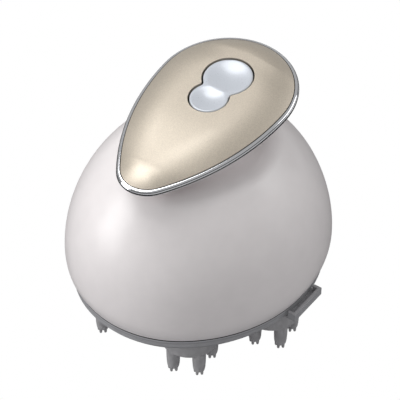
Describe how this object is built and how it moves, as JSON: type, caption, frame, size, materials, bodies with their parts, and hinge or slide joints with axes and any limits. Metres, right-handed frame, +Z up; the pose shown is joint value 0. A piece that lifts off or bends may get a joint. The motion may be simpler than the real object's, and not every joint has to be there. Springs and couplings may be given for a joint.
{
  "type": "electric scalp massager",
  "caption": "Hand-held electric scalp massager: oval battery body with a mushroom handle, rocker button and a pull-off head with turning rubber finger discs.",
  "frame": {"origin": "centre of the bounding box at its base: the finger tips stand on z = 0 and the body axis is 0.6 mm toward +Y of the origin's own box centre line", "axes": "+Z up from the finger tips to the handle; +X along the handle toward its wide end, which is the longest extent; the release tab of the head faces -Y"},
  "size_m": [0.1244, 0.1128, 0.113],
  "materials": {
    "dome_white": "satin pearl-white moulded ABS",
    "base_grey": "mid-grey moulded ABS",
    "head_grey": "grey moulded polypropylene head plate",
    "finger_rubber": "grey moulded silicone rubber",
    "seal_rubber": "black silicone seal",
    "frame_plastic": "natural ABS inner frame",
    "gear_acetal": "natural acetal",
    "motor_steel": "zinc plated steel can",
    "brass": "machined brass",
    "cell_sleeve": "blue shrink sleeve on the cell",
    "board_green": "green solder resist on glass epoxy",
    "gold_contact": "gold plated contact pins",
    "tray_white": "satin white moulded ABS",
    "chrome": "bright chrome plating on ABS",
    "champagne": "satin champagne-gold metallic lacquer",
    "button_pearl": "pearly blue-white metallic lacquer",
    "steel": "bright steel",
    "switch_black": "black nylon switch bodies",
    "tungsten": "sintered heavy metal"
  },
  "bodies": {
    "housing": {"dome_shell": "dome_white", "base_plate": "base_grey", "base_seal": "seal_rubber", "chassis": "frame_plastic", "motor": "motor_steel", "spindle_seals": "seal_rubber", "tap_motor": "motor_steel", "battery": "cell_sleeve", "main_board": "board_green", "charge_contacts": "gold_contact", "handle_tray": "tray_white", "chrome_bezel": "chrome", "gold_panel": "champagne", "rocker_pin": "steel", "switch_boot": "seal_rubber", "switch_board": "board_green", "tact_switches": "switch_black", "case_screws": "steel", "chassis_screws": "steel", "motor_screws": "steel", "tray_screws": "steel"},
    "button": {"rocker_button": "button_pearl"},
    "pinion": {"motor_pinion": "brass"},
    "idler": {"idler_gear": "gear_acetal"},
    "sun": {"sun_gear": "gear_acetal"},
    "weight": {"tap_weight": "tungsten"},
    "head": {"head_plate": "head_grey", "hub_rings": "steel"},
    "spindle_body_1": {"spindle_1": "gear_acetal"},
    "disc_body_1": {"finger_disc_1": "finger_rubber"},
    "spindle_body_2": {"spindle_2": "gear_acetal"},
    "disc_body_2": {"finger_disc_2": "finger_rubber"},
    "spindle_body_3": {"spindle_3": "gear_acetal"},
    "disc_body_3": {"finger_disc_3": "finger_rubber"},
    "spindle_body_4": {"spindle_4": "gear_acetal"},
    "disc_body_4": {"finger_disc_4": "finger_rubber"},
    "spindle_body_5": {"spindle_5": "gear_acetal"},
    "disc_body_5": {"finger_disc_5": "finger_rubber"},
    "spindle_body_6": {"spindle_6": "gear_acetal"},
    "disc_body_6": {"finger_disc_6": "finger_rubber"}
  },
  "joints": [
    {"name": "rocker", "type": "hinge", "parent": "housing", "child": "button", "pos_m": [0.01224, 0, 0.10624], "axis": [0, 1, 0], "range_deg": [-2.5, 2.5], "stiffness_Nm_per_rad": 0.3},
    {"name": "sun_spin", "type": "hinge", "parent": "housing", "child": "sun", "pos_m": [0, 0, 0.0362], "axis": [0, 0, 1], "continuous": true},
    {"name": "idler_spin", "type": "hinge", "parent": "housing", "child": "idler", "pos_m": [0.0312, 0, 0.0402], "axis": [0, 0, 1], "continuous": true},
    {"name": "pinion_spin", "type": "hinge", "parent": "housing", "child": "pinion", "pos_m": [0.0137, 0, 0.0452], "axis": [0, 0, 1], "continuous": true},
    {"name": "weight_spin", "type": "hinge", "parent": "housing", "child": "weight", "pos_m": [-0.023, -0.0106, 0.0607], "axis": [0, 1, 0], "continuous": true},
    {"name": "head_pull", "type": "slide", "parent": "housing", "child": "head", "axis": [0, 0, -1], "range_m": [0, 0.025]},
    {"name": "spindle_spin_1", "type": "hinge", "parent": "housing", "child": "spindle_body_1", "pos_m": [0, -0.0384, 0.0362], "axis": [0, 0, 1], "continuous": true},
    {"name": "spindle_spin_2", "type": "hinge", "parent": "housing", "child": "spindle_body_2", "pos_m": [0.03325, -0.0192, 0.0362], "axis": [0, 0, 1], "continuous": true},
    {"name": "spindle_spin_3", "type": "hinge", "parent": "housing", "child": "spindle_body_3", "pos_m": [0.03325, 0.0192, 0.0362], "axis": [0, 0, 1], "continuous": true},
    {"name": "spindle_spin_4", "type": "hinge", "parent": "housing", "child": "spindle_body_4", "pos_m": [0, 0.0384, 0.0362], "axis": [0, 0, 1], "continuous": true},
    {"name": "spindle_spin_5", "type": "hinge", "parent": "housing", "child": "spindle_body_5", "pos_m": [-0.03325, 0.0192, 0.0362], "axis": [0, 0, 1], "continuous": true},
    {"name": "spindle_spin_6", "type": "hinge", "parent": "housing", "child": "spindle_body_6", "pos_m": [-0.03325, -0.0192, 0.0362], "axis": [0, 0, 1], "continuous": true},
    {"name": "disc_spin_1", "type": "hinge", "parent": "head", "child": "disc_body_1", "pos_m": [0, -0.0384, 0.0122], "axis": [0, 0, 1], "continuous": true},
    {"name": "disc_spin_2", "type": "hinge", "parent": "head", "child": "disc_body_2", "pos_m": [0.03325, -0.0192, 0.0122], "axis": [0, 0, 1], "continuous": true},
    {"name": "disc_spin_3", "type": "hinge", "parent": "head", "child": "disc_body_3", "pos_m": [0.03325, 0.0192, 0.0122], "axis": [0, 0, 1], "continuous": true},
    {"name": "disc_spin_4", "type": "hinge", "parent": "head", "child": "disc_body_4", "pos_m": [0, 0.0384, 0.0122], "axis": [0, 0, 1], "continuous": true},
    {"name": "disc_spin_5", "type": "hinge", "parent": "head", "child": "disc_body_5", "pos_m": [-0.03325, 0.0192, 0.0122], "axis": [0, 0, 1], "continuous": true},
    {"name": "disc_spin_6", "type": "hinge", "parent": "head", "child": "disc_body_6", "pos_m": [-0.03325, -0.0192, 0.0122], "axis": [0, 0, 1], "continuous": true}
  ],
  "couplings": [
    {"joint": "idler_spin", "follows": "sun_spin", "ratio": -4.5714},
    {"joint": "pinion_spin", "follows": "sun_spin", "ratio": 18.286},
    {"joint": "spindle_spin_1", "follows": "sun_spin", "ratio": -2},
    {"joint": "spindle_spin_2", "follows": "sun_spin", "ratio": -2},
    {"joint": "spindle_spin_3", "follows": "sun_spin", "ratio": -2},
    {"joint": "spindle_spin_4", "follows": "sun_spin", "ratio": -2},
    {"joint": "spindle_spin_5", "follows": "sun_spin", "ratio": -2},
    {"joint": "spindle_spin_6", "follows": "sun_spin", "ratio": -2},
    {"joint": "disc_spin_1", "follows": "sun_spin", "ratio": -2},
    {"joint": "disc_spin_2", "follows": "sun_spin", "ratio": -2},
    {"joint": "disc_spin_3", "follows": "sun_spin", "ratio": -2},
    {"joint": "disc_spin_4", "follows": "sun_spin", "ratio": -2},
    {"joint": "disc_spin_5", "follows": "sun_spin", "ratio": -2},
    {"joint": "disc_spin_6", "follows": "sun_spin", "ratio": -2}
  ]
}
